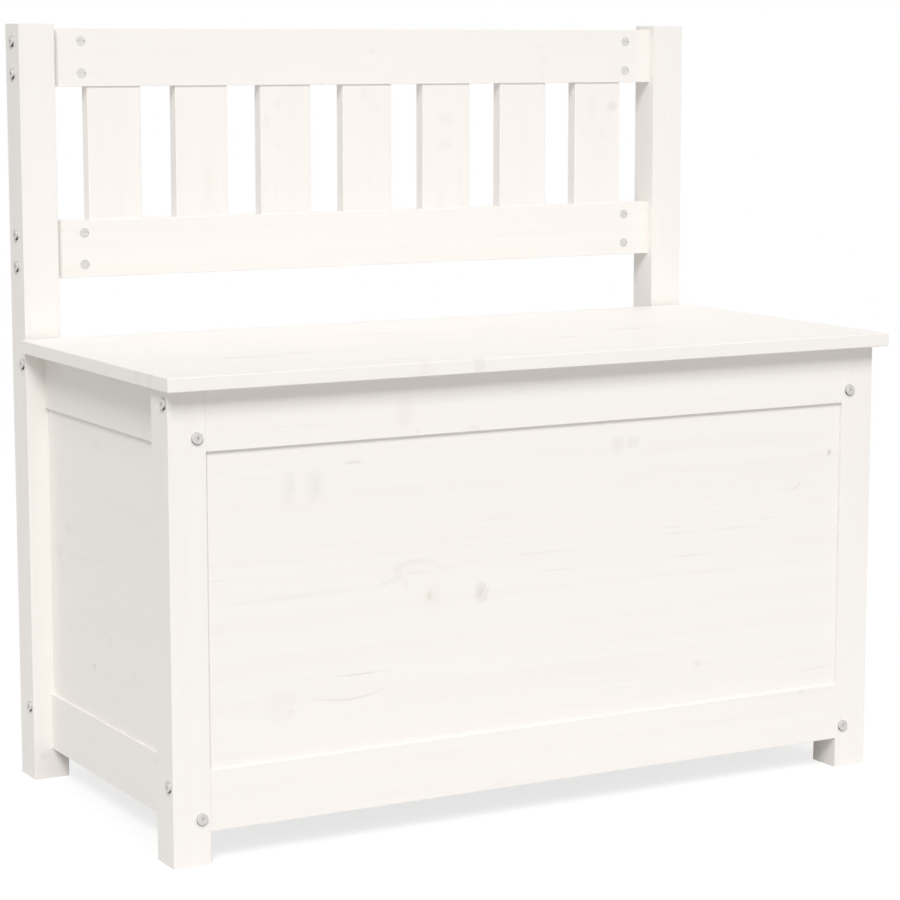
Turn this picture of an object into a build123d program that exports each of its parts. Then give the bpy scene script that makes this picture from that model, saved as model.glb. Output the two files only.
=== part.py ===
from build123d import *
import os

# Storage bench: four posts, a slatted back, a box of framed panels and a hinged lid that is the seat.
# Millimetres. X runs to the right, Y to the back, Z up. The origin is on the floor, in the middle of the plan.

# Overall sizes
BACK_HEIGHT = 770.0         # top of the rear posts
FRAME_WIDTH = 788.0         # across the outer faces of the posts
FRAME_DEPTH = 396.0         # front of the front posts to back of the rear posts
SEAT_HEIGHT = 456.0         # top of the lid
FOOT_HEIGHT = 31.0          # clear height under the bottom rails

# Timber sections
POST = 37.5                 # square section of the posts
RAIL_HEIGHT = 58.0
RAIL_THICK = 18.0
PANEL_THICK = 9.0
EASE = 0.4                  # rounded long edges of posts and rails
POST_BEVEL = 0.3            # bevel round the top of the rear posts

# Slatted back
BACK_TOP_DROP = 4.5         # back top rail below the top of the posts
BACK_GAP = 59.0             # lid top to the underside of the back bottom rail
SLAT_COUNT = 7
SLAT_WIDTH = 58.0
SLAT_THICK = 15.0
SLAT_EASE = 1.0
SLAT_TENON = 9.0            # length of the tenon inside each rail
TENON_THICK = 8.0

# Panels in their grooves
PANEL_SET = 3.2             # face of a panel behind the outer face of its rails
RAIL_GROOVE = 6.0           # groove depth in the rails
POST_GROOVE = 4.0           # groove depth in the posts
PANEL_PLAY = 1.0            # room left for the wood to swell

# Lid
LID_THICK = 13.0
LID_SIDE_LAP = 7.0          # past the posts at each side
LID_FRONT_LAP = 18.0        # past the front of the posts
LID_EASE = 0.8
LID_BATTEN_WIDTH = 40.0
LID_BATTEN_THICK = 16.0
LID_BATTEN_END = 186.0      # end of the lid to the middle of each batten
LID_BATTEN_FRONT = 62.0     # from the front edge of the lid
LID_BATTEN_BACK = 45.0      # from the back edge of the lid

# Floor of the box
FLOOR_THICK = 9.0
FLOOR_PLAY = 1.0            # gap between the floor board and the rails
FLOOR_BATTEN = 18.0         # square section
FLOOR_BATTEN_RISE = 5.0     # underside of the battens above the underside of the rails
LONG_BATTEN_SHORT = 30.0    # long battens stop this far from the side rails
SIDE_BATTEN_SHORT = 46.0    # side battens stop this far from the posts

# Bolts and barrel nuts
BOLT_DIAMETER = 6.0
BOLT_PITCH = 32.0           # between the two bolt heights of a rail
BOLT_PAST_NUT = 8.0         # bolt tip past the middle of the nut
HEAD_DIAMETER = 11.0
HEAD_THICK = 2.8
HEAD_SINK = 0.7             # depth of the seat that the head is pulled into
HEAD_EASE = 0.5
SOCKET_FLATS = 3.0
SOCKET_DEPTH = 1.0
NUT_DIAMETER = 10.0
NUT_SKIN = 4.0              # wood left behind the blind end of the nut
NUT_INSET = 32.0            # middle of the nut from the end of the rail
NUT_SLOT_WIDTH = 1.8
NUT_SLOT_DEPTH = 1.6

# Dowels
DOWEL_DIAMETER = 8.0
DOWEL_LENGTH = 26.0
DOWEL_STAGGER = 5.5         # above or below the middle of the rail, so that dowels in one post miss each other

# Hinges
HINGE_LENGTH = 50.0
HINGE_END = 111.5           # end of the rear top rail to the middle of each hinge
KNUCKLE_COUNT = 5
LEAF_THICK = 1.3
FRAME_LEAF_HEIGHT = 26.0    # pin axis to the lower edge of the leaf on the rail
LID_LEAF_MARGIN = 1.0       # lower edge of the leaf on the lid above the underside of the lid
PIN_DIAMETER = 2.4
KNUCKLE_SET = 0.9           # knuckles forward of the rail's face, which keeps them below the lid's top
HINGE_SCREW_COUNT = 3
HINGE_SCREW_END = 8.0       # outer screws from the ends of the leaf
HINGE_SCREW_LENGTH = 14.0
HINGE_SCREW_DIAMETER = 2.6
HINGE_SCREW_HEAD = 4.8
FRAME_SCREW_DROP = 7.0      # screws on the rail below the top of the rail

# Screws of the battens
SCREW_DIAMETER = 4.0
SCREW_HEAD = 8.0
FLOOR_SCREW_BITE = 11.0     # length in the rail
LID_SCREW_BITE = 8.0        # length in the lid
FLOOR_SCREW_COUNT = 3       # in each floor batten
LID_SCREW_COUNT = 3         # in each lid batten
SCREW_END = 30.0            # outer screws from the ends of a batten
RECESS_SPAN = 0.55          # cross recess of every screw, as a share of its head
RECESS_WIDTH = 0.9
RECESS_DEPTH = 0.8

# Fits, on each side
PANEL_FIT = 0.1
SLAT_FIT = 0.1
BOLT_FIT = 0.25
HEAD_FIT = 0.15
NUT_FIT = 0.05
THREAD_FIT = 0.05
DOWEL_FIT = 0.05
SCREW_FIT = 0.05
PIN_RUN = 0.05              # running clearance of the pin
KNUCKLE_GAP = 0.3           # between neighbouring knuckles
KNUCKLE_CLEARANCE = 0.4     # a leaf's cut-outs round the other leaf's knuckles
LID_EDGE_CLEARANCE = 0.3    # back edge of the lid to the knuckles
OPEN_CLEARANCE = 0.3        # upright lid to the front of the rear posts
BORE_PLAY = 1.0             # bores deeper than what they hold

SIDES = {"left": -1, "right": 1}

# Places that follow from the sizes
half_width = FRAME_WIDTH / 2
inner_x = half_width - POST
head_proud = HEAD_THICK - HEAD_SINK
plan_depth = LID_FRONT_LAP + FRAME_DEPTH + head_proud
lid_front_y = -plan_depth / 2
front_y = lid_front_y + LID_FRONT_LAP
back_y = front_y + FRAME_DEPTH
rear_face_y = back_y - POST
lid_under = SEAT_HEIGHT - LID_THICK

bottom_rail_z = (FOOT_HEIGHT, FOOT_HEIGHT + RAIL_HEIGHT)
top_rail_z = (lid_under - RAIL_HEIGHT, lid_under)
back_top = BACK_HEIGHT - BACK_TOP_DROP
back_top_z = (back_top - RAIL_HEIGHT, back_top)
back_bottom_z = (SEAT_HEIGHT + BACK_GAP, SEAT_HEIGHT + BACK_GAP + RAIL_HEIGHT)

front_rail_y = (front_y, front_y + RAIL_THICK)
rear_rail_y = (rear_face_y, rear_face_y + RAIL_THICK)
back_mid_y = back_y - POST / 2
back_rail_y = (back_mid_y - RAIL_THICK / 2, back_mid_y + RAIL_THICK / 2)
side_rail_y = (front_y + POST, rear_face_y)
side_mid_x = inner_x + RAIL_THICK / 2

knuckle_diameter = PIN_DIAMETER + 2 * LEAF_THICK
hinge_y = rear_face_y - KNUCKLE_SET - knuckle_diameter / 2
hinge_z = SEAT_HEIGHT - KNUCKLE_SET - knuckle_diameter / 2 + OPEN_CLEARANCE
lid_back_y = hinge_y - knuckle_diameter / 2 - LID_EDGE_CLEARANCE

nodes = {}


# Basic shapes

def middle(span):
    return (span[0] + span[1]) / 2


def block(x, y, z):
    """Box over the spans x, y and z."""
    centre = Pos(middle(x), middle(y), middle(z))
    return centre * Box(x[1] - x[0], y[1] - y[0], z[1] - z[0])


def around(centre, width):
    return (centre - width / 2, centre + width / 2)


def rod(diameter, length, start=0.0):
    """Cylinder along Z from the height start."""
    align = (Align.CENTER, Align.CENTER, Align.MIN)
    return Pos(0, 0, start) * Cylinder(diameter / 2, length, align=align)


def ease_along(solid, axis, radius):
    return fillet(solid.edges().filter_by(axis), radius)


def spread(start, end, count):
    """Evenly spaced places from start to end."""
    return [start + (end - start) * i / (count - 1) for i in range(count)]


# Posts

def post(side, y, height):
    outer, inner = side * half_width, side * inner_x
    x = (min(outer, inner), max(outer, inner))
    return ease_along(block(x, y, (0, height)), Axis.Z, EASE)


for name, side in SIDES.items():
    rear = post(side, (rear_face_y, back_y), BACK_HEIGHT)
    nodes[f"rear_{name}_post"] = chamfer(rear.edges().group_by(Axis.Z)[-1], POST_BEVEL)
    nodes[f"front_{name}_post"] = post(side, (front_y, front_y + POST), lid_under)


# Rails

def across_rail(y, z):
    return ease_along(block((-inner_x, inner_x), y, z), Axis.X, EASE)


def side_rail(side, z):
    rail = block(around(side * side_mid_x, RAIL_THICK), side_rail_y, z)
    return ease_along(rail, Axis.Y, EASE)


nodes["back_top_rail"] = across_rail(back_rail_y, back_top_z)
nodes["back_bottom_rail"] = across_rail(back_rail_y, back_bottom_z)
for level, rail_z in (("top", top_rail_z), ("bottom", bottom_rail_z)):
    nodes[f"front_{level}_rail"] = across_rail(front_rail_y, rail_z)
    nodes[f"rear_{level}_rail"] = across_rail(rear_rail_y, rail_z)
    for name, side in SIDES.items():
        nodes[f"{name}_{level}_rail"] = side_rail(side, rail_z)


# Back slats, with tenons in the mortises of the two back rails

slat_gap = (2 * inner_x - SLAT_COUNT * SLAT_WIDTH) / (SLAT_COUNT + 1)
slat_z = (back_bottom_z[1], back_top_z[0])
mortise_z = (slat_z[0] - SLAT_TENON, slat_z[1] + SLAT_TENON)
tenon_z = (mortise_z[0], mortise_z[1] - PANEL_PLAY)
mortise_y = around(back_mid_y, TENON_THICK + 2 * SLAT_FIT)

for i in range(SLAT_COUNT):
    slat_x = -inner_x + slat_gap + SLAT_WIDTH / 2 + i * (SLAT_WIDTH + slat_gap)
    mortise = block(around(slat_x, SLAT_WIDTH + 2 * SLAT_FIT), mortise_y, mortise_z)
    nodes["back_top_rail"] -= mortise
    nodes["back_bottom_rail"] -= mortise
    board = block(around(slat_x, SLAT_WIDTH), around(back_mid_y, SLAT_THICK), slat_z)
    tenons = block(around(slat_x, SLAT_WIDTH), around(back_mid_y, TENON_THICK), tenon_z)
    nodes[f"back_slat_{i + 1}"] = ease_along(board, Axis.Z, SLAT_EASE) + tenons


# Panels, held in grooves of the rails and posts around them

groove_z = (bottom_rail_z[1] - RAIL_GROOVE, top_rail_z[0] + RAIL_GROOVE)
panel_z = (groove_z[0], groove_z[1] - PANEL_PLAY)
groove_thick = PANEL_THICK + 2 * PANEL_FIT
groove_x = (-inner_x - POST_GROOVE, inner_x + POST_GROOVE)
panel_x = (groove_x[0] + PANEL_PLAY, groove_x[1] - PANEL_PLAY)
groove_y = (side_rail_y[0] - POST_GROOVE, side_rail_y[1] + POST_GROOVE)
panel_y = (groove_y[0] + PANEL_PLAY, groove_y[1] - PANEL_PLAY)

panel_in = PANEL_SET + PANEL_THICK / 2

for row, mid_y in (("front", front_rail_y[0] + panel_in), ("rear", rear_rail_y[1] - panel_in)):
    groove = block(groove_x, around(mid_y, groove_thick), groove_z)
    for piece in ("left_post", "right_post", "top_rail", "bottom_rail"):
        nodes[f"{row}_{piece}"] -= groove
    nodes[f"{row}_panel"] = block(panel_x, around(mid_y, PANEL_THICK), panel_z)

for name, side in SIDES.items():
    mid_x = side * (inner_x + RAIL_THICK - panel_in)
    groove = block(around(mid_x, groove_thick), groove_y, groove_z)
    for piece in (f"front_{name}_post", f"rear_{name}_post", f"{name}_top_rail", f"{name}_bottom_rail"):
        nodes[piece] -= groove
    nodes[f"{name}_panel"] = block(around(mid_x, PANEL_THICK), panel_y, panel_z)


# Bolts, barrel nuts and dowels. Each is drawn once along Z, from the mouth of its bore, and then placed.

nut_length = RAIL_THICK - NUT_SKIN
shank_length = POST - HEAD_SINK + NUT_INSET + BOLT_PAST_NUT


def draw_bolt():
    head = rod(HEAD_DIAMETER, HEAD_THICK, -head_proud)
    head = fillet(head.edges().group_by(Axis.Z)[0], HEAD_EASE)
    socket = RegularPolygon(SOCKET_FLATS / 2, 6, major_radius=False)
    head -= Pos(0, 0, -head_proud) * extrude(socket, SOCKET_DEPTH)
    return head + rod(BOLT_DIAMETER, shank_length, HEAD_SINK)


def draw_bolt_bore():
    seat = rod(HEAD_DIAMETER + 2 * HEAD_FIT, HEAD_SINK)
    return seat + rod(BOLT_DIAMETER + 2 * BOLT_FIT, HEAD_SINK + shank_length + BORE_PLAY)


def draw_nut():
    barrel = rod(NUT_DIAMETER, nut_length)
    thread = Rot(0, 90, 0) * Cylinder(BOLT_DIAMETER / 2 + THREAD_FIT, 2 * NUT_DIAMETER)
    slot = Box(2 * NUT_DIAMETER, NUT_SLOT_WIDTH, 2 * NUT_SLOT_DEPTH)
    return barrel - Pos(0, 0, RAIL_THICK / 2) * thread - slot


bolt_shape = draw_bolt()
bolt_bore = draw_bolt_bore()
nut_shape = draw_nut()
nut_bore = rod(NUT_DIAMETER + 2 * NUT_FIT, nut_length)
dowel_shape = rod(DOWEL_DIAMETER, DOWEL_LENGTH, -DOWEL_LENGTH / 2)
dowel_bore = rod(DOWEL_DIAMETER + 2 * DOWEL_FIT, DOWEL_LENGTH + BORE_PLAY, -DOWEL_LENGTH / 2)

bolts = []
nuts = []
dowels = []


def bolt_joint(post_name, rail_name, start, into, nut_into):
    """Bolt from start on the post's face along into, with its nut let into the rail along nut_into."""
    place = Plane(start, z_dir=into)
    nodes[post_name] -= place * bolt_bore
    nodes[rail_name] -= place * bolt_bore
    bolts.append(place * bolt_shape)
    mouth = Vector(start) + Vector(into) * (POST + NUT_INSET) - Vector(nut_into) * (RAIL_THICK / 2)
    nut_place = Plane(mouth, x_dir=into, z_dir=nut_into)
    nodes[rail_name] -= nut_place * nut_bore
    nuts.append(nut_place * nut_shape)


def dowel_joint(post_name, rail_name, start, into):
    """Dowel across the joint, level with start on the post's outer face."""
    place = Plane(Vector(start) + Vector(into) * POST, z_dir=into)
    nodes[post_name] -= place * dowel_bore
    nodes[rail_name] -= place * dowel_bore
    dowels.append(place * dowel_shape)


# Back rails have two bolts at each end, with the nuts let in from the front.
for rail_name, rail_z in (("back_top_rail", back_top_z), ("back_bottom_rail", back_bottom_z)):
    for bolt_z in around(middle(rail_z), BOLT_PITCH):
        for name, side in SIDES.items():
            start = (side * half_width, back_mid_y, bolt_z)
            bolt_joint(f"rear_{name}_post", rail_name, start, (-side, 0, 0), (0, 1, 0))

# Box rails have one bolt and one dowel at each end, with the nuts let in from inside the box.
for level, rail_z in (("top", top_rail_z), ("bottom", bottom_rail_z)):
    lower_z, upper_z = around(middle(rail_z), BOLT_PITCH)
    for row, rail_y, nut_into in (("front", front_rail_y, (0, -1, 0)), ("rear", rear_rail_y, (0, 1, 0))):
        for name, side in SIDES.items():
            ends = (f"{row}_{name}_post", f"{row}_{level}_rail")
            bolt_start = (side * half_width, middle(rail_y), upper_z)
            dowel_start = (side * half_width, middle(rail_y), middle(rail_z) - DOWEL_STAGGER)
            bolt_joint(*ends, bolt_start, (-side, 0, 0), nut_into)
            dowel_joint(*ends, dowel_start, (-side, 0, 0))
    for name, side in SIDES.items():
        for row, face_y, into in (("front", front_y, (0, 1, 0)), ("rear", back_y, (0, -1, 0))):
            ends = (f"{row}_{name}_post", f"{name}_{level}_rail")
            bolt_start = (side * side_mid_x, face_y, lower_z)
            dowel_start = (side * side_mid_x, face_y, middle(rail_z) + DOWEL_STAGGER)
            bolt_joint(*ends, bolt_start, into, (side, 0, 0))
            dowel_joint(*ends, dowel_start, into)


# Countersunk screws, drawn along Z from the face that the head is flush with

def screw(diameter, head_diameter, length, grow=0.0):
    head_depth = (head_diameter - diameter) / 2
    cone = Cone(head_diameter / 2 + grow, diameter / 2 + grow, head_depth)
    head = Pos(0, 0, head_depth / 2) * cone
    return head + rod(diameter + 2 * grow, length + grow - head_depth, head_depth)


def cross_recess(head_diameter):
    bar = Box(RECESS_SPAN * head_diameter, RECESS_WIDTH, 2 * RECESS_DEPTH)
    return bar + Rot(0, 0, 90) * bar


def drive(names, start, into, sizes):
    """Cut the screw's hole in each named node and return the screw."""
    place = Plane(start, z_dir=into)
    for node_name in names:
        nodes[node_name] -= place * screw(*sizes, SCREW_FIT)
    return place * (screw(*sizes) - cross_recess(sizes[1]))


# Floor board on its battens

batten_z = (FOOT_HEIGHT + FLOOR_BATTEN_RISE, FOOT_HEIGHT + FLOOR_BATTEN_RISE + FLOOR_BATTEN)
floor_z = (batten_z[1], batten_z[1] + FLOOR_THICK)
floor_x = (-inner_x + FLOOR_PLAY, inner_x - FLOOR_PLAY)
floor_y = (front_rail_y[1] + FLOOR_PLAY, rear_rail_y[0] - FLOOR_PLAY)
nodes["floor_board"] = block(floor_x, floor_y, floor_z)

long_batten_x = (-inner_x + LONG_BATTEN_SHORT, inner_x - LONG_BATTEN_SHORT)
side_batten_y = (side_rail_y[0] + SIDE_BATTEN_SHORT, side_rail_y[1] - SIDE_BATTEN_SHORT)
floor_screw = (SCREW_DIAMETER, SCREW_HEAD, FLOOR_BATTEN + FLOOR_SCREW_BITE)
floor_screws = []

for row, wall_y, into in (("front", front_rail_y[1], -1), ("rear", rear_rail_y[0], 1)):
    face_y = wall_y - into * FLOOR_BATTEN
    batten_y = (min(wall_y, face_y), max(wall_y, face_y))
    nodes[f"{row}_floor_batten"] = block(long_batten_x, batten_y, batten_z)
    ends = (f"{row}_floor_batten", f"{row}_bottom_rail")
    for screw_x in spread(long_batten_x[0] + SCREW_END, long_batten_x[1] - SCREW_END, FLOOR_SCREW_COUNT):
        floor_screws.append(drive(ends, (screw_x, face_y, middle(batten_z)), (0, into, 0), floor_screw))

for name, side in SIDES.items():
    face_x = side * (inner_x - FLOOR_BATTEN)
    batten_x = around(side * (inner_x - FLOOR_BATTEN / 2), FLOOR_BATTEN)
    nodes[f"{name}_floor_batten"] = block(batten_x, side_batten_y, batten_z)
    ends = (f"{name}_floor_batten", f"{name}_bottom_rail")
    for screw_y in spread(side_batten_y[0] + SCREW_END, side_batten_y[1] - SCREW_END, FLOOR_SCREW_COUNT):
        floor_screws.append(drive(ends, (face_x, screw_y, middle(batten_z)), (side, 0, 0), floor_screw))


# Lid board with two battens under it

lid_half = half_width + LID_SIDE_LAP
lid = block((-lid_half, lid_half), (lid_front_y, lid_back_y), (lid_under, SEAT_HEIGHT))
nodes["lid_board"] = fillet(lid.edges(), LID_EASE)

lid_batten_y = (lid_front_y + LID_BATTEN_FRONT, lid_back_y - LID_BATTEN_BACK)
lid_batten_z = (lid_under - LID_BATTEN_THICK, lid_under)
lid_screw = (SCREW_DIAMETER, SCREW_HEAD, LID_BATTEN_THICK + LID_SCREW_BITE)
lid_screws = []

for name, side in SIDES.items():
    mid_x = side * (lid_half - LID_BATTEN_END)
    batten = block(around(mid_x, LID_BATTEN_WIDTH), lid_batten_y, lid_batten_z)
    nodes[f"{name}_lid_batten"] = fillet(batten.edges().group_by(Axis.Z)[0], EASE)
    ends = (f"{name}_lid_batten", "lid_board")
    for screw_y in spread(lid_batten_y[0] + SCREW_END, lid_batten_y[1] - SCREW_END, LID_SCREW_COUNT):
        lid_screws.append(drive(ends, (mid_x, screw_y, lid_batten_z[0]), (0, 0, 1), lid_screw))


# Butt hinges, folded in the gap between the lid's back edge and the rear top rail

knuckle_pitch = HINGE_LENGTH / KNUCKLE_COUNT
cutout_z = hinge_z - knuckle_diameter / 2 - KNUCKLE_CLEARANCE
hinge_screw = (HINGE_SCREW_DIAMETER, HINGE_SCREW_HEAD, HINGE_SCREW_LENGTH)
frame_hinge_screws = []
lid_hinge_screws = []


def along_x(centre_x, diameter, length):
    return Pos(centre_x, hinge_y, hinge_z) * Rot(0, 90, 0) * Cylinder(diameter / 2, length)


def hinge_leaf(centre_x, y, foot_z, first_knuckle):
    """Flat leaf with every second knuckle, cut away round the knuckles of the other leaf."""
    leaf = block(around(centre_x, HINGE_LENGTH), y, (foot_z, hinge_z))
    left_x = centre_x - HINGE_LENGTH / 2
    for i in range(KNUCKLE_COUNT):
        knuckle_x = left_x + (i + 0.5) * knuckle_pitch
        if i % 2 == first_knuckle:
            leaf += along_x(knuckle_x, knuckle_diameter, knuckle_pitch - KNUCKLE_GAP)
        else:
            leaf -= block(around(knuckle_x, knuckle_pitch + KNUCKLE_GAP), y, (cutout_z, hinge_z))
    return leaf - along_x(centre_x, PIN_DIAMETER + 2 * PIN_RUN, 2 * HINGE_LENGTH)


for name, side in SIDES.items():
    hinge_x = side * (inner_x - HINGE_END)
    frame_leaf_y = (rear_face_y - LEAF_THICK, rear_face_y)
    lid_leaf_y = (lid_back_y, lid_back_y + LEAF_THICK)
    frame_leaf, lid_leaf = f"{name}_hinge_frame_leaf", f"{name}_hinge_lid_leaf"
    nodes[frame_leaf] = hinge_leaf(hinge_x, frame_leaf_y, hinge_z - FRAME_LEAF_HEIGHT, 0)
    nodes[lid_leaf] = hinge_leaf(hinge_x, lid_leaf_y, lid_under + LID_LEAF_MARGIN, 1)
    nodes[f"{name}_hinge_pin"] = along_x(hinge_x, PIN_DIAMETER, HINGE_LENGTH)
    first_x, last_x = around(hinge_x, HINGE_LENGTH - 2 * HINGE_SCREW_END)
    for screw_x in spread(first_x, last_x, HINGE_SCREW_COUNT):
        frame_start = (screw_x, frame_leaf_y[0], top_rail_z[1] - FRAME_SCREW_DROP)
        lid_start = (screw_x, lid_leaf_y[1], middle((lid_under + LID_LEAF_MARGIN, cutout_z)))
        frame_hinge_screws.append(drive((frame_leaf, "rear_top_rail"), frame_start, (0, 1, 0), hinge_screw))
        lid_hinge_screws.append(drive((lid_leaf, "lid_board"), lid_start, (0, -1, 0), hinge_screw))


# Fasteners that are alike share one node each.
nodes["frame_bolts"] = Compound(bolts)
nodes["barrel_nuts"] = Compound(nuts)
nodes["rail_dowels"] = Compound(dowels)
nodes["floor_batten_screws"] = Compound(floor_screws)
nodes["lid_batten_screws"] = Compound(lid_screws)
nodes["hinge_frame_screws"] = Compound(frame_hinge_screws)
nodes["hinge_lid_screws"] = Compound(lid_hinge_screws)

os.makedirs("parts", exist_ok=True)
for node_name, shape in nodes.items():
    export_step(shape, f"parts/{node_name}.step")
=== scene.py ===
import math
import random

import bpy
from mathutils import Euler, Matrix, Vector


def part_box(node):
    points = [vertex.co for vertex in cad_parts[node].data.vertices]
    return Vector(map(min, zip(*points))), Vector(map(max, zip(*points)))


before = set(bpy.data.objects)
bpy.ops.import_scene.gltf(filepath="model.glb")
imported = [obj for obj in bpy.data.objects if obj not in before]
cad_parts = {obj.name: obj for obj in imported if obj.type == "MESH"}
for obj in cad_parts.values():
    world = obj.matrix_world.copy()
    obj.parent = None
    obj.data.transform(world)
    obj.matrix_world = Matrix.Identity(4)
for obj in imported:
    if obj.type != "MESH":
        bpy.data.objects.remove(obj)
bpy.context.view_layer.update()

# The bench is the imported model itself. This script gives every board its paint, grain and knots, gives
# the hardware its metals, and sets the floor, the lamps and the camera. Lengths are metres in the
# model's frame.

# How a board lies: rows that turn the model's x, y, z into along the grain, across its face, into it.
ACROSS_FRONT = ((1, 0, 0), (0, 0, 1), (0, -1, 0))
ACROSS_SIDE = ((0, 1, 0), (0, 0, 1), (1, 0, 0))
UPRIGHT = ((0, 0, 1), (1, 0, 0), (0, 1, 0))
FLAT = ((1, 0, 0), (0, 1, 0), (0, 0, 1))
FLAT_FRONT_TO_BACK = ((0, 1, 0), (1, 0, 0), (0, 0, -1))

# Colours of the paint and of what shows through it, of the metals, of the painted shade on the bolt heads and
# the painted light in the nut slots, and of the bare dowels.
WHITE_PAINT = (0.885, 0.852, 0.820, 1.0)
KNOT_GREY = (0.33, 0.29, 0.25, 1.0)
RESIN_PINK = (0.80, 0.56, 0.44, 1.0)
LATEWOOD = (0.70, 0.61, 0.52, 1.0)
PALE_BOLT = (0.67, 0.655, 0.64, 1.0)
DARK_BOLT = (0.57, 0.555, 0.54, 1.0)
# Painted shade on the lower edges of the bolt heads.
ZINC_PAINTED_SHADE = (0.10, 0.10, 0.10, 1.0)
PALE_NUT = (0.72, 0.71, 0.695, 1.0)
DARK_NUT = (0.62, 0.61, 0.595, 1.0)
# Painted light in the slots of the nuts.
SLOT_PAINTED_LIGHT = (0.81, 0.80, 0.785, 1.0)
PALE_STEEL = (0.74, 0.735, 0.72, 1.0)
DARK_STEEL = (0.60, 0.60, 0.59, 1.0)
PALE_BEECH = (0.75, 0.57, 0.39, 1.0)
DARK_BEECH = (0.63, 0.45, 0.28, 1.0)
BEECH_FLECK = (0.42, 0.26, 0.14, 1.0)

# The wood: its year rings, with the part of a year in which the latewood darkens and stops, the glued
# staves of wide boards, and where the tree's heart ran under each.
RING_SPACING = 0.0042
RING_SWAY = 0.006
LATEWOOD_DARKENS = (0.35, 0.85)
LATEWOOD_STOPS = (1.0, 0.9)
STAVE_WIDTH = 0.094
WHOLE_BOARD = 2.0
HEART_DEPTH = 0.03
HEART_SPREAD = 0.05
HEART_LEAN = 0.05
GRAIN_DICE = 7
GRAIN_SEEDS = (1.0, 40.0)

# A mark is 0 in its middle and 1 at its edge. From there come its soft edge, the rim and heart of a
# ringed knot and how dark these are, how much paler its body is, and how far it pushes the grain aside.
MARK_EDGE = (1.35, 0.15)
RIM_AT = 0.85
RIM_BREADTH = 0.4
RIM_TONE = 0.5
HEART_EDGE = (0.5, 0.05)
HEART_TONE = 0.35
RINGED_PALER = 0.5
PUSH = 0.7
PUSH_FADES = 0.25

# How fine each pattern is: turns per metre along the grain, across it and into the wood.
KNOT_EDGE_SCALE = (160.0, 160.0, 30.0)
SWAY_SCALE = (2.2, 9.0, 9.0)
PATCH_SCALE = (3.0, 14.0, 14.0)
BAND_SCALE = (1.6, 75.0, 75.0)
FLOW_SCALE = (4.0, 260.0, 260.0)
FIBRE_SCALE = (16.0, 700.0, 700.0)
BEECH_BAND_SCALE = (40.0, 260.0, 260.0)
BEECH_FLECK_SCALE = (300.0, 900.0, 900.0)
BLOOM_SCALE = (420.0, 420.0, 420.0)
CAST_GRIT = (900.0, 900.0, 900.0)
ROLLED_GRIT = (120.0, 1600.0, 1600.0)

# Which part of a pattern's range shows, and how strongly it shows through the paint or on the beech.
# The rings are faint in some places and clear in others.
PATCH_RANGE = (0.42, 0.72)
RINGS_SHOW = (0.006, 0.05)
FLOW_RANGE = (0.66, 0.78)
FLOW_SHOWS = (0.0, 0.05)
BAND_RANGE = (0.35, 0.75)
BAND_SHOWS = (0.0, 0.055)
FIBRE_SHOWS = 0.03
KNOT_EDGE_WANDER = 0.7
FLECK_RANGE = (0.62, 0.72)
FLECK_SHOWS = (0.0, 0.5)
BEECH_BAND_RANGE = (0.2, 0.8)
BLOOM_RANGE = (0.3, 0.7)

# Satin paint: its roughness, and how much fibres, rings and knots change that.
SATIN = 0.46
FIBRE_DULLS = 0.22
RINGS_SHINE = -0.05
KNOTS_DULL = 0.3

# Roughness of each metal and of the beech, over the range of its pattern, and what the grit adds.
BOLT_GLOSS = (0.48, 0.60)
NUT_GLOSS = (0.42, 0.54)
STEEL_GLOSS = (0.30, 0.42)
BEECH_GLOSS = (0.55, 0.7)
GRIT_DULLS = 0.12

# Strength and height of the fine relief on paint and on metal, and what stands up or sinks in the paint.
PAINT_RELIEF = (0.35, 0.00012)
GRIT_RELIEF = (0.25, 0.00005)
RINGS_RISE = 0.5
FIBRES_RISE = 0.8
KNOTS_SINK = 1.5

# Where a bolt head turns down far enough to take its painted shade, and how deep in a nut its slot takes
# painted light: the start and the full strength of each.
TURNED_DOWN = (-0.15, -0.60)
SLOT_DEPTH = (0.0002, 0.0008)

# The light: how bright the surround is, where each softbox stands and how strong it is on a surface that
# faces it, and the same for the low fill from behind. Lamps are sized by their distance.
SURROUND = 0.44
LAMP_DISTANCE = 30.0
LAMP_WIDTH = 0.21
LAMP_HEIGHT = 0.44
LAMP_AIM = (0.0, 0.0, 0.4)
LEFT_DIRECTION = (-0.62, -0.90, 1.0)
LEFT_LEVEL = 0.68
RIGHT_DIRECTION = (0.50, -0.90, 1.0)
RIGHT_LEVEL = 0.16
FILL_DIRECTION = (0.84, 0.53, 0.06)
FILL_LEVEL = 0.32
FILL_ANGLE = 15.0

# The floor: what it throws back on its pale sheet and beyond it, how it is shaded and how it glows where
# it is seen near the bench, and from where to where that turns to plain white.
WHITE = (1.0, 1.0, 1.0, 1.0)
PALE_FLOOR = (0.68, 0.677, 0.67, 1.0)
DARK_FLOOR = (0.10, 0.10, 0.10, 1.0)
FLOOR_SHADE = (0.30, 0.30, 0.30, 1.0)
FLOOR_GLOW = 0.73
FLOOR_RADIUS = 14.0
FLOOR_SIDES = 96
SHEET_EDGE = 4.0
SHEET_FADE = 0.4
PLAIN_WHITE = (1.2, 2.4)

# The camera: its place, how far it looks down and to the right of straight ahead, and its lens.
CAMERA_PLACE = (-1.36036, -2.44985, 0.74853)
LOOKS_DOWN = 8.356
LOOKS_RIGHT = 29.063
LENS = 110.209
SENSOR = 36.0


def knot(along, across, length, width, tone, warmth=0.15, ring=0.45):
    """A knot under the paint: its centre on the board, its size, how dark, how pink and how ringed it is."""
    return (along, across, length, width, 0.0, 0.0, ring, tone, warmth)


def streak(along, across, length, tone, width=0.0016, slope=0.0, bend=0.0, warmth=0.1):
    """A thin dark line of grain or resin along the board, which may slope or bend (per metre of length)."""
    return (along, across, length, width, slope, bend, 0.0, tone, warmth)


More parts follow.
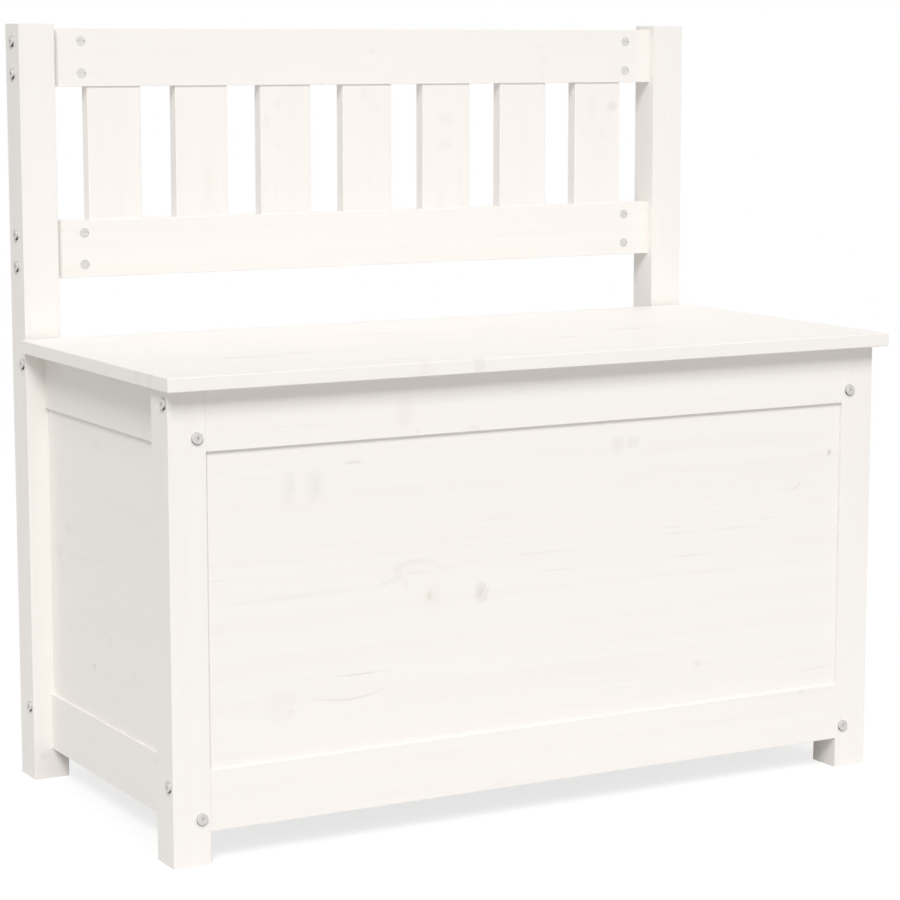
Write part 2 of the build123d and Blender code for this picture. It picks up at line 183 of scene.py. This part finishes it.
def smear(along, across, length, width, tone, warmth=0.8):
    """A soft warm patch where resin has bled into the paint."""
    return (along, across, length, width, 0.0, 0.0, 0.0, tone, warmth)


# What each board lies like, how wide its glued staves are, and the marks that show through its paint.
# Marks are given along the board and across it: x and z on the front, y and z on the sides, z and x on
# uprights, x and y on the lid and the floor.
BOARDS = {
    "rear_left_post": (UPRIGHT, WHOLE_BOARD, [knot(0.025, -0.383, 0.012, 0.010, 0.10)]),
    "rear_right_post": (UPRIGHT, WHOLE_BOARD, [streak(0.66, 0.372, 0.09, 0.05)]),
    "front_left_post": (UPRIGHT, WHOLE_BOARD, [streak(0.30, -0.379, 0.12, 0.04)]),
    "front_right_post": (UPRIGHT, WHOLE_BOARD, [
        streak(0.21, 0.371, 0.10, 0.04),
        # Painted shade: darkens the post's inner side face beside the front panel, the side the light reaches
        # less.
        streak(0.235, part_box("front_right_post")[0][0], 0.60, 0.07, width=0.0012),
    ]),
    "back_top_rail": (ACROSS_FRONT, WHOLE_BOARD, [
        knot(0.0038, 0.7426, 0.010, 0.008, 0.06),
        knot(0.2123, 0.7474, 0.013, 0.011, 0.04),
        knot(0.2182, 0.7299, 0.016, 0.013, 0.045),
        knot(0.2153, 0.7149, 0.010, 0.009, 0.04),
        streak(-0.19, 0.7395, 0.22, 0.05, slope=0.012),
    ]),
    "back_bottom_rail": (ACROSS_FRONT, WHOLE_BOARD, [
        streak(0.19, 0.541, 0.26, 0.05, slope=0.02),
        streak(0.05, 0.533, 0.16, 0.04),
    ]),
    "back_slat_1": (UPRIGHT, WHOLE_BOARD, [streak(0.62, -0.262, 0.09, 0.04)]),
    "back_slat_2": (UPRIGHT, WHOLE_BOARD, [smear(0.608, -0.185, 0.060, 0.012, 0.07)]),
    "back_slat_3": (UPRIGHT, WHOLE_BOARD, [
        knot(0.6694, -0.1191, 0.016, 0.010, 0.07),
        knot(0.6447, -0.1068, 0.012, 0.010, 0.05),
        knot(0.6875, -0.1045, 0.012, 0.009, 0.05),
        streak(0.600, -0.0886, 0.050, 0.06, warmth=0.5),
        streak(0.596, -0.1090, 0.050, 0.07, warmth=0.6),
    ]),
    "back_slat_4": (UPRIGHT, WHOLE_BOARD, [
        smear(0.698, -0.0043, 0.018, 0.010, 0.05, warmth=0.4),
        smear(0.6805, 0.0121, 0.014, 0.009, 0.05, warmth=0.4),
        streak(0.62, 0.001, 0.10, 0.05),
    ]),
    "back_slat_5": (UPRIGHT, WHOLE_BOARD, [
        knot(0.6693, 0.0967, 0.015, 0.019, 0.08, warmth=0.0),
        knot(0.6436, 0.0953, 0.013, 0.018, 0.07, warmth=0.0),
        streak(0.6026, 0.1131, 0.030, 0.10, width=0.0025),
    ]),
    "back_slat_6": (UPRIGHT, WHOLE_BOARD, [streak(0.655, 0.196, 0.08, 0.03)]),
    "back_slat_7": (UPRIGHT, WHOLE_BOARD, [
        knot(0.6809, 0.3086, 0.010, 0.014, 0.20),
        knot(0.6507, 0.2950, 0.013, 0.012, 0.06),
        knot(0.6801, 0.2817, 0.014, 0.012, 0.05),
    ]),
    "front_top_rail": (ACROSS_FRONT, WHOLE_BOARD, [
        smear(-0.1524, 0.4075, 0.022, 0.034, 0.12),
        knot(-0.1393, 0.3893, 0.006, 0.005, 0.16, warmth=0.5),
        knot(-0.0785, 0.3886, 0.012, 0.006, 0.12),
        streak(-0.276, 0.4028, 0.150, 0.07, slope=-0.016),
        streak(0.1889, 0.3981, 0.050, 0.05),
        streak(0.0571, 0.3983, 0.040, 0.04),
    ]),
    "front_bottom_rail": (ACROSS_FRONT, WHOLE_BOARD, [
        knot(-0.0472, 0.0360, 0.010, 0.007, 0.08),
        knot(0.3106, 0.0857, 0.010, 0.006, 0.10),
    ]),
    "front_panel": (ACROSS_FRONT, STAVE_WIDTH, [
        knot(-0.2740, 0.3440, 0.017, 0.034, 0.075, warmth=0.0, ring=0.1),
        knot(-0.2700, 0.3490, 0.008, 0.024, 0.030, warmth=0.0, ring=0.0),
        knot(-0.2462, 0.3453, 0.021, 0.032, 0.085, warmth=0.0, ring=0.1),
        knot(-0.2440, 0.3420, 0.010, 0.008, 0.040, warmth=0.1, ring=0.0),
        smear(-0.2560, 0.3260, 0.050, 0.016, 0.020, warmth=0.9),
        streak(-0.2068, 0.3639, 0.022, 0.19, width=0.004),
        streak(-0.1385, 0.2640, 0.056, 0.07, width=0.0065, bend=-9.0),
        smear(-0.1585, 0.2560, 0.013, 0.024, 0.06, warmth=0.0),
        streak(-0.1390, 0.2535, 0.034, 0.08, width=0.0032, bend=-7.0),
        streak(-0.1700, 0.2470, 0.034, 0.07, width=0.0060, slope=0.26),
        smear(-0.1510, 0.2440, 0.007, 0.016, 0.09, warmth=0.75),
        streak(-0.1050, 0.2545, 0.034, 0.03, width=0.0040),
        streak(-0.2700, 0.2425, 0.190, 0.055, width=0.0060, slope=0.02),
        smear(-0.1220, 0.2300, 0.022, 0.032, 0.08, warmth=0.95),
        knot(-0.1251, 0.2306, 0.007, 0.011, 0.24, warmth=0.4, ring=0.0),
        knot(-0.0679, 0.2274, 0.015, 0.020, 0.25, warmth=0.0, ring=0.3),
        # Painted highlight: a thin crescent at the knot's right edge where its grey is taken back.
        streak(-0.0645, 0.2274, 0.006, -0.24, width=0.0030, slope=2.2),
        knot(0.0852, 0.3588, 0.014, 0.018, 0.10, warmth=0.0),
        knot(0.1038, 0.3610, 0.015, 0.013, 0.12, warmth=0.0),
        knot(0.3439, 0.3338, 0.006, 0.007, 0.40, ring=0.0),
        streak(0.3041, 0.3020, 0.014, 0.14, width=0.004, slope=0.7),
        knot(-0.2836, 0.1382, 0.032, 0.026, 0.05, ring=0.8),
        knot(-0.2720, 0.1330, 0.010, 0.009, 0.07, ring=0.0),
        knot(0.1844, 0.1295, 0.010, 0.009, 0.11),
        streak(0.157, 0.2660, 0.040, 0.12),
        streak(0.2274, 0.2651, 0.050, 0.11),
        streak(0.1743, 0.2416, 0.045, 0.15),
        streak(0.018, 0.2416, 0.060, 0.11),
        streak(-0.0060, 0.2602, 0.084, 0.10),
        streak(0.1543, 0.2723, 0.034, 0.11),
        streak(0.1870, 0.2224, 0.032, 0.08, warmth=0.6),
        streak(0.2670, 0.2715, 0.016, 0.11),
        streak(0.3000, 0.2236, 0.022, 0.10),
        streak(-0.349, 0.2647, 0.030, 0.10),
        streak(-0.200, 0.1615, 0.060, 0.22, width=0.0020, bend=0.6),
        streak(-0.2130, 0.1385, 0.080, 0.20, width=0.0024, bend=4.0),
        streak(0.3295, 0.1079, 0.040, 0.12, slope=0.08),
    ]),
    "rear_top_rail": (ACROSS_FRONT, WHOLE_BOARD, [
        knot(0.121, 0.411, 0.018, 0.014, 0.10),
        streak(-0.10, 0.422, 0.20, 0.05),
    ]),
    "rear_bottom_rail": (ACROSS_FRONT, WHOLE_BOARD, [
        knot(-0.214, 0.058, 0.014, 0.012, 0.10),
        streak(0.16, 0.071, 0.18, 0.05),
    ]),
    "rear_panel": (ACROSS_FRONT, STAVE_WIDTH, [
        knot(0.226, 0.287, 0.020, 0.026, 0.14),
        knot(0.061, 0.158, 0.015, 0.018, 0.22),
        knot(-0.148, 0.331, 0.024, 0.020, 0.10),
        knot(-0.281, 0.196, 0.011, 0.012, 0.20),
        streak(0.13, 0.281, 0.16, 0.10, width=0.002),
        streak(-0.19, 0.203, 0.12, 0.09),
        streak(-0.02, 0.352, 0.08, 0.10),
    ]),
    "left_top_rail": (ACROSS_SIDE, WHOLE_BOARD, [streak(0.02, 0.411, 0.12, 0.05)]),
    "left_bottom_rail": (ACROSS_SIDE, WHOLE_BOARD, [
        knot(-0.1027, 0.0798, 0.008, 0.006, 0.12),
        knot(-0.1180, 0.0825, 0.007, 0.005, 0.10),
    ]),
    "left_panel": (ACROSS_SIDE, STAVE_WIDTH, [
        knot(0.1200, 0.2696, 0.012, 0.011, 0.09),
        knot(0.1443, 0.2387, 0.014, 0.012, 0.10),
        knot(0.1369, 0.2273, 0.010, 0.010, 0.10),
        streak(0.041, 0.2478, 0.134, 0.08, slope=-0.06),
        smear(0.0418, 0.3649, 0.020, 0.016, 0.05, warmth=0.3),
        knot(0.0126, 0.1735, 0.009, 0.010, 0.10),
        knot(0.0543, 0.1401, 0.008, 0.008, 0.18),
        smear(-0.0519, 0.1488, 0.022, 0.012, 0.06, warmth=0.3),
    ]),
    "right_top_rail": (ACROSS_SIDE, WHOLE_BOARD, [knot(-0.061, 0.405, 0.012, 0.010, 0.10)]),
    "right_bottom_rail": (ACROSS_SIDE, WHOLE_BOARD, [streak(0.03, 0.066, 0.14, 0.05)]),
    "right_panel": (ACROSS_SIDE, STAVE_WIDTH, [
        knot(-0.072, 0.312, 0.018, 0.022, 0.14),
        knot(0.098, 0.204, 0.012, 0.014, 0.18),
        knot(-0.021, 0.141, 0.016, 0.013, 0.09),
        streak(0.02, 0.306, 0.11, 0.09),
        streak(-0.09, 0.197, 0.09, 0.08),
    ]),
    "floor_board": (FLAT, STAVE_WIDTH, [
        knot(-0.190, 0.062, 0.024, 0.018, 0.14),
        knot(0.144, -0.081, 0.016, 0.014, 0.18),
        streak(0.02, 0.055, 0.16, 0.08),
    ]),
    "front_floor_batten": (ACROSS_FRONT, WHOLE_BOARD, []),
    "rear_floor_batten": (ACROSS_FRONT, WHOLE_BOARD, []),
    "left_floor_batten": (ACROSS_SIDE, WHOLE_BOARD, []),
    "right_floor_batten": (ACROSS_SIDE, WHOLE_BOARD, []),
    "lid_board": (FLAT, STAVE_WIDTH, [
        streak(-0.2818, -0.0859, 0.040, 0.24, width=0.007),
        streak(-0.2523, -0.0893, 0.040, 0.21, width=0.007),
        streak(-0.2122, -0.0776, 0.040, 0.21, width=0.007),
        streak(-0.2996, -0.2014, 0.030, 0.10, width=0.005),
        streak(-0.2938, 0.1226, 0.040, 0.10, width=0.005),
        streak(-0.0594, 0.0391, 0.060, 0.22, width=0.007),
        streak(-0.1442, -0.1679, 0.040, 0.16, width=0.007),
        smear(-0.1402, -0.2020, 0.018, 0.020, 0.16),
        knot(-0.0829, -0.2050, 0.012, 0.012, 0.16),
        streak(0.1905, -0.0373, 0.070, 0.22, width=0.007),
        streak(0.0940, -0.0771, 0.060, 0.19, width=0.007),
        streak(0.3159, -0.2004, 0.040, 0.10, width=0.005),
        smear(-0.4010, -0.1387, 0.012, 0.016, 0.10, warmth=0.55),
        smear(-0.4010, -0.1658, 0.012, 0.014, 0.10, warmth=0.35),
    ]),
    "left_lid_batten": (FLAT_FRONT_TO_BACK, WHOLE_BOARD, [knot(-0.032, -0.215, 0.010, 0.010, 0.12)]),
    "right_lid_batten": (FLAT_FRONT_TO_BACK, WHOLE_BOARD, []),
}


class Recipe:
    """Short ways to add nodes to one tree, so that a finish reads as a list of steps."""

    def __init__(self, tree):
        self.tree = tree

    def node(self, kind, *values, **settings):
        made = self.tree.nodes.new(kind)
        for name, value in settings.items():
            setattr(made, name, value)
        for socket, value in zip(made.inputs, values):
            self.feed(socket, value)
        return made

    def feed(self, socket, value):
        if isinstance(value, bpy.types.NodeSocket):
            self.tree.links.new(value, socket)
        elif value is not None:
            socket.default_value = value

    def calc(self, operation, *values):
        return self.node("ShaderNodeMath", *values, operation=operation).outputs[0]

    def plus(self, first, second):
        return self.calc("ADD", first, second)

    def minus(self, first, second):
        return self.calc("SUBTRACT", first, second)

    def times(self, first, second):
        return self.calc("MULTIPLY", first, second)

    def swing(self, value):
        """A value from 0 to 1 becomes one from -0.5 to 0.5."""
        return self.minus(value, 0.5)

    def ease(self, value, start, end, low=0.0, high=1.0):
        """A value from start to end becomes one from low to high, with soft ends."""
        kind = "ShaderNodeMapRange"
        return self.node(kind, value, start, end, low, high, interpolation_type="SMOOTHSTEP").outputs[0]

    def place(self):
        return self.node("ShaderNodeTexCoord").outputs["Object"]

    def vector(self, operation, *values):
        return self.node("ShaderNodeVectorMath", *values, operation=operation).outputs[0]

    def split(self, vector):
        return self.node("ShaderNodeSeparateXYZ", vector).outputs[:]

    def join(self, x, y, z):
        return self.node("ShaderNodeCombineXYZ", x, y, z).outputs[0]

    def noise(self, place, scale, detail=2.0, rough=0.5):
        """Cloudy noise from 0 to 1, with that many turns per metre each way."""
        texture = self.node("ShaderNodeTexNoise")
        self.feed(texture.inputs["Vector"], self.vector("MULTIPLY", place, scale))
        texture.inputs["Scale"].default_value = 1.0
        texture.inputs["Detail"].default_value = detail
        texture.inputs["Roughness"].default_value = rough
        return texture.outputs[0]

    def blend(self, amount, first, second):
        mixed = self.node("ShaderNodeMix", data_type="RGBA")
        self.feed(mixed.inputs[0], amount)
        self.feed(mixed.inputs[6], first)
        self.feed(mixed.inputs[7], second)
        return mixed.outputs[2]

    def relief(self, height, strength, distance):
        """A surface that rises and falls a little with height."""
        bump = self.node("ShaderNodeBump")
        bump.inputs["Strength"].default_value = strength
        bump.inputs["Distance"].default_value = distance
        self.feed(bump.inputs["Height"], height)
        return bump.outputs[0]


def group(name, takes, gives):
    """An empty node group with those named inputs and outputs, and its recipe."""
    tree = bpy.data.node_groups.new(name, "ShaderNodeTree")
    for way, sockets in (("INPUT", takes), ("OUTPUT", gives)):
        for label, kind in sockets.items():
            tree.interface.new_socket(label, in_out=way, socket_type="NodeSocket" + kind)
    recipe = Recipe(tree)
    start = recipe.node("NodeGroupInput")
    end = recipe.node("NodeGroupOutput")
    return recipe, {socket.name: socket for socket in start.outputs if socket.name}, end


def mark_group():
    """One knot, streak or smear: the stain it adds to the paint, and how it pushes the grain aside."""
    numbers = ("Along", "Across", "Wander", "Centre along", "Centre across", "Length", "Width")
    numbers += ("Slope", "Bend", "Ring", "Tone", "Warmth", "Grey so far", "Warm so far", "Push so far")
    recipe, given, end = group(
        "pine_mark",
        {name: "Float" for name in numbers},
        {"Grey": "Float", "Warm": "Float", "Push": "Float"},
    )
    plus, minus, times = recipe.plus, recipe.minus, recipe.times

    # How far a point is from the middle: 0 there, and 1 at the mark's edge.
    off_along = minus(given["Along"], given["Centre along"])
    lean = times(off_along, plus(given["Slope"], times(off_along, given["Bend"])))
    off_across = minus(minus(given["Across"], given["Centre across"]), lean)
    u = recipe.calc("DIVIDE", off_along, times(given["Length"], 0.5))
    v = recipe.calc("DIVIDE", off_across, times(given["Width"], 0.5))
    squared = plus(times(u, u), times(v, v))
    reach = plus(recipe.calc("SQRT", squared), given["Wander"])

    # A plain mark has a soft body. A ringed one has less of it, and a dark rim and heart.
    body = recipe.ease(reach, *MARK_EDGE)
    rim = recipe.ease(recipe.calc("ABSOLUTE", minus(reach, RIM_AT)), RIM_BREADTH, 0.0)
    heart = recipe.ease(reach, *HEART_EDGE)
    ringed = plus(times(rim, RIM_TONE), times(heart, HEART_TONE))
    plain = times(body, minus(1.0, times(given["Ring"], RINGED_PALER)))
    stain = times(given["Tone"], plus(plain, times(ringed, given["Ring"])))
    warm = times(stain, given["Warmth"])
    recipe.feed(end.inputs["Grey"], plus(given["Grey so far"], minus(stain, warm)))
    recipe.feed(end.inputs["Warm"], plus(given["Warm so far"], warm))

    # The grain runs round a ringed knot, less and less away from it.
    fade = recipe.calc("DIVIDE", 1.0, plus(1.0, times(squared, PUSH_FADES)))
    push = times(times(off_across, fade), times(given["Ring"], PUSH))
    recipe.feed(end.inputs["Push"], plus(given["Push so far"], push))
    return recipe.tree


def paint_group():
    """White satin paint on sawn pine: growth rings, fibres and stains show faintly through it."""
    recipe, given, end = group(
        "white_paint_on_pine",
        {
            "Board": "Vector", "Centre": "Vector", "Stave width": "Float", "Seed": "Float",
            "Grey": "Float", "Warm": "Float", "Push": "Float",
        },
        {"Color": "Color", "Roughness": "Float", "Height": "Float"},
    )
    plus, minus, times, swing = recipe.plus, recipe.minus, recipe.times, recipe.swing

    # Each stave has its own throw of the dice and its own piece of every pattern. The odd factors only
    # keep these apart.
    along, across, deep = recipe.split(recipe.vector("SUBTRACT", given["Board"], given["Centre"]))
    stave = recipe.calc("FLOOR", plus(recipe.calc("DIVIDE", across, given["Stave width"]), 0.5))
    dice = recipe.node("ShaderNodeTexWhiteNoise", noise_dimensions="1D")
    recipe.feed(dice.inputs["W"], plus(times(given["Seed"], 13.7), times(stave, 3.1)))
    roll_across, roll_deep, roll_lean = recipe.split(dice.outputs["Color"])
    shift = recipe.join(times(given["Seed"], 3.7), times(stave, 5.3), given["Seed"])
    straight = recipe.vector("ADD", recipe.join(along, across, deep), shift)
    bent = recipe.vector("ADD", recipe.join(along, minus(across, given["Push"]), deep), shift)

    # The tree's heart runs beside each stave, a little out of line with it, and the rings lie round it.
    heart_across = plus(times(stave, given["Stave width"]), times(swing(roll_across), HEART_SPREAD))
    side = plus(minus(across, heart_across), times(along, times(swing(roll_lean), HEART_LEAN)))
    below = minus(deep, plus(HEART_DEPTH, times(roll_deep, HEART_SPREAD)))
    radius = recipe.calc("SQRT", plus(times(side, side), times(below, below)))
    radius = plus(radius, times(swing(recipe.noise(straight, SWAY_SCALE, 3.0)), RING_SWAY))
    radius = minus(radius, given["Push"])
    year = recipe.calc("FRACT", recipe.calc("DIVIDE", radius, RING_SPACING))
    latewood = times(recipe.ease(year, *LATEWOOD_DARKENS), recipe.ease(year, *LATEWOOD_STOPS))

    patch = recipe.noise(bent, PATCH_SCALE)
    band = recipe.noise(bent, BAND_SCALE)
    flow = recipe.noise(bent, FLOW_SCALE, 1.0)
    fibre = recipe.noise(bent, FIBRE_SCALE, 3.0, 0.6)
    lines = times(latewood, recipe.ease(patch, *PATCH_RANGE, *RINGS_SHOW))
    lines = plus(lines, recipe.ease(flow, *FLOW_RANGE, *FLOW_SHOWS))
    lines = plus(lines, recipe.ease(band, *BAND_RANGE, *BAND_SHOWS))
    lines = plus(lines, times(swing(fibre), FIBRE_SHOWS))
    color = recipe.blend(recipe.calc("MAXIMUM", lines, 0.0), WHITE_PAINT, LATEWOOD)
    color = recipe.blend(given["Warm"], color, RESIN_PINK)
    color = recipe.blend(given["Grey"], color, KNOT_GREY)
    recipe.feed(end.inputs["Color"], color)

    sheen = plus(SATIN, times(swing(fibre), FIBRE_DULLS))
    sheen = plus(sheen, times(latewood, RINGS_SHINE))
    sheen = plus(sheen, times(given["Grey"], KNOTS_DULL))
    recipe.feed(end.inputs["Roughness"], sheen)
    height = plus(times(latewood, RINGS_RISE), times(fibre, FIBRES_RISE))
    recipe.feed(end.inputs["Height"], minus(height, times(given["Grey"], KNOTS_SINK)))
    return recipe.tree


def finish_on(name):
    """A new material, its recipe, and its Principled shader."""
    material = bpy.data.materials.new(name)
    material.use_nodes = True
    recipe = Recipe(material.node_tree)
    shader = next(node for node in material.node_tree.nodes if node.type == "BSDF_PRINCIPLED")
    return material, recipe, shader


def painted_pine(board, seed, mark, paint):
    """The paint of one board, with its own run of grain and its own marks."""
    lie, stave_width, marks = BOARDS[board]
    turn = Matrix(lie)
    low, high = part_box(board)
    centre = turn @ ((Vector(low) + Vector(high)) / 2)
    material, recipe, shader = finish_on("painted_pine_" + board)
    place = recipe.node("ShaderNodeMapping", recipe.place(), None, turn.to_euler()).outputs[0]
    along, across = recipe.split(place)[:2]
    wander = recipe.times(recipe.swing(recipe.noise(place, KNOT_EDGE_SCALE, 3.0)), KNOT_EDGE_WANDER)
    grey, warm, push = 0.0, 0.0, 0.0
    for each in marks:
        made = recipe.node("ShaderNodeGroup", along, across, wander, *each, grey, warm, push, node_tree=mark)
        grey, warm, push = made.outputs
    coat = recipe.node("ShaderNodeGroup", place, centre, stave_width, seed, grey, warm, push, node_tree=paint)
    recipe.feed(shader.inputs["Base Color"], coat.outputs["Color"])
    recipe.feed(shader.inputs["Roughness"], coat.outputs["Roughness"])
    recipe.feed(shader.inputs["Normal"], recipe.relief(coat.outputs["Height"], *PAINT_RELIEF))
    return material


def painted_shade_below(recipe, color):
    """Painted shade: the lower edge of a bolt head, where it turns down, is made darker as if in shadow."""
    facing_up = recipe.split(recipe.node("ShaderNodeNewGeometry").outputs["Normal"])[2]
    return recipe.blend(recipe.ease(facing_up, *TURNED_DOWN), color, ZINC_PAINTED_SHADE)


def slots_painted_light(recipe, color):
    """Painted light in the slots of the nuts in the back rails: the slot floors, which lie in shade, are made
    bright against the plated ends.
    """
    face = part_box("back_bottom_rail")[0]
    y, z = recipe.split(recipe.place())[1:]
    in_slot = recipe.ease(recipe.minus(y, face[1]), *SLOT_DEPTH)
    in_back = recipe.calc("GREATER_THAN", z, face[2])
    return recipe.blend(recipe.times(in_slot, in_back), color, SLOT_PAINTED_LIGHT)


def plated_steel(name, pale, dark, gloss, grit_scale, detail=None):
    """Zinc plating: a cloudy grey bloom, fine grit, and a gloss that changes with both."""
    material, recipe, shader = finish_on(name)
    place = recipe.place()
    bloom = recipe.noise(place, BLOOM_SCALE, 3.0)
    grit = recipe.noise(place, grit_scale, 2.0, 0.6)
    color = recipe.blend(recipe.ease(bloom, *BLOOM_RANGE), dark, pale)
    if detail:
        color = detail(recipe, color)
    dulled = recipe.plus(recipe.ease(bloom, *BLOOM_RANGE, *gloss), recipe.times(grit, GRIT_DULLS))
    recipe.feed(shader.inputs["Base Color"], color)
    recipe.feed(shader.inputs["Roughness"], dulled)
    recipe.feed(shader.inputs["Normal"], recipe.relief(grit, *GRIT_RELIEF))
    shader.inputs["Metallic"].default_value = 1.0
    return material


def bare_beech():
    """Unpainted beech of the turned dowels: short dark flecks along the grain."""
    material, recipe, shader = finish_on("bare_beech_dowel")
    place = recipe.place()
    fleck = recipe.noise(place, BEECH_FLECK_SCALE)
    band = recipe.noise(place, BEECH_BAND_SCALE, 3.0)
    ground = recipe.blend(band, DARK_BEECH, PALE_BEECH)
    flecked = recipe.blend(recipe.ease(fleck, *FLECK_RANGE, *FLECK_SHOWS), ground, BEECH_FLECK)
    recipe.feed(shader.inputs["Base Color"], flecked)
    recipe.feed(shader.inputs["Roughness"], recipe.ease(band, *BEECH_BAND_RANGE, *BEECH_GLOSS))
    return material


def dress():
    """Puts a finish on every part of the bench."""
    mark = mark_group()
    paint = paint_group()
    dice = random.Random(GRAIN_DICE)
    hardware = {
        # The bolt heads get painted shade on their lower edges.
        "frame_bolts": plated_steel("zinc_bolts", PALE_BOLT, DARK_BOLT, BOLT_GLOSS, CAST_GRIT, painted_shade_below),
        # The nuts get painted light in their slots.
        "barrel_nuts": plated_steel("zinc_nuts", PALE_NUT, DARK_NUT, NUT_GLOSS, CAST_GRIT, slots_painted_light),
        "rail_dowels": bare_beech(),
    }
    hinge_steel = plated_steel("hinge_steel", PALE_STEEL, DARK_STEEL, STEEL_GLOSS, ROLLED_GRIT)
    for name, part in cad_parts.items():
        if name in BOARDS:
            finish = painted_pine(name, dice.uniform(*GRAIN_SEEDS), mark, paint)
        else:
            finish = hardware.get(name, hinge_steel)
        part.data.materials.clear()
        part.data.materials.append(finish)


def seen_directly(recipe):
    """1 for what the camera, a reflection or glass sees, 0 for light that falls on something."""
    path = recipe.node("ShaderNodeLightPath")
    seen = recipe.plus(path.outputs["Is Camera Ray"], path.outputs["Is Glossy Ray"])
    return recipe.plus(seen, path.outputs["Is Transmission Ray"])


def white_surround():
    """A surround that is seen as plain white, and fills the shadows with less."""
    world = bpy.context.scene.world or bpy.data.worlds.new("studio")
    bpy.context.scene.world = world
    world.use_nodes = True
    world.node_tree.nodes.clear()
    recipe = Recipe(world.node_tree)
    strength = recipe.node("ShaderNodeMapRange", seen_directly(recipe), 0.0, 1.0, SURROUND, 1.0)
    surround = recipe.node("ShaderNodeBackground", WHITE, strength.outputs[0])
    recipe.node("ShaderNodeOutputWorld", surround.outputs[0])


def pale_floor():
    """A pale sheet, dark beyond its edge for the light it throws back, and white where it is seen."""
    bpy.ops.object.select_all(action="DESELECT")
    bpy.ops.mesh.primitive_circle_add(
        vertices=FLOOR_SIDES, radius=FLOOR_RADIUS, fill_type="NGON", location=(0.0, 0.0, 0.0))
    floor = bpy.context.object
    floor.name = "studio_floor"
    material = bpy.data.materials.new("pale_floor")
    material.use_nodes = True
    material.node_tree.nodes.clear()
    recipe = Recipe(material.node_tree)
    away = recipe.node("ShaderNodeVectorMath", recipe.place(), operation="LENGTH").outputs["Value"]
    beyond = recipe.ease(away, SHEET_EDGE - SHEET_FADE, SHEET_EDGE + SHEET_FADE)
    throws = recipe.node("ShaderNodeBsdfDiffuse", recipe.blend(beyond, PALE_FLOOR, DARK_FLOOR))
    shade = recipe.node("ShaderNodeBsdfDiffuse", FLOOR_SHADE)
    glow = recipe.node("ShaderNodeEmission", WHITE, FLOOR_GLOW)
    near = recipe.node("ShaderNodeAddShader", shade.outputs[0], glow.outputs[0])
    far = recipe.node("ShaderNodeEmission", WHITE, 1.0)
    turned = recipe.ease(away, *PLAIN_WHITE)
    white = recipe.node("ShaderNodeMixShader", turned, near.outputs[0], far.outputs[0])
    shown = recipe.node("ShaderNodeMixShader", seen_directly(recipe), throws.outputs[0], white.outputs[0])
    recipe.node("ShaderNodeOutputMaterial", shown.outputs[0])
    floor.data.materials.append(material)


def softbox(name, direction, level):
    """A tall soft lamp, far off in that direction."""
    toward = Vector(direction).normalized()
    bpy.ops.object.light_add(type="AREA", location=toward * LAMP_DISTANCE + Vector(LAMP_AIM))
    lamp = bpy.context.object
    lamp.name = name
    lamp.rotation_euler = toward.to_track_quat("Z", "Y").to_euler()
    lamp.data.shape = "RECTANGLE"
    lamp.data.size = LAMP_WIDTH * LAMP_DISTANCE
    lamp.data.size_y = LAMP_HEIGHT * LAMP_DISTANCE
    lamp.data.energy = level * (math.pi * LAMP_DISTANCE) ** 2


def rear_fill():
    """A low even light on the right and the rear, which throws no glare on the lid."""
    toward = Vector(FILL_DIRECTION)
    bpy.ops.object.light_add(type="SUN", location=toward * LAMP_DISTANCE)
    lamp = bpy.context.object
    lamp.name = "rear_fill"
    lamp.rotation_euler = toward.to_track_quat("Z", "Y").to_euler()
    lamp.visible_glossy = False
    lamp.data.angle = math.radians(FILL_ANGLE)
    lamp.data.energy = FILL_LEVEL * math.pi


def point_camera():
    """The photograph's own view: from the front left, a little above the seat, through a long lens."""
    bpy.ops.object.camera_add(location=CAMERA_PLACE)
    camera = bpy.context.object
    camera.rotation_euler = Euler((math.radians(90.0 - LOOKS_DOWN), 0.0, math.radians(-LOOKS_RIGHT)))
    camera.data.lens = LENS
    camera.data.sensor_width = SENSOR
    bpy.context.scene.camera = camera


dress()
white_surround()
pale_floor()
softbox("left_softbox", LEFT_DIRECTION, LEFT_LEVEL)
softbox("right_softbox", RIGHT_DIRECTION, RIGHT_LEVEL)
rear_fill()
point_camera()
bpy.context.scene.view_settings.view_transform = "Standard"
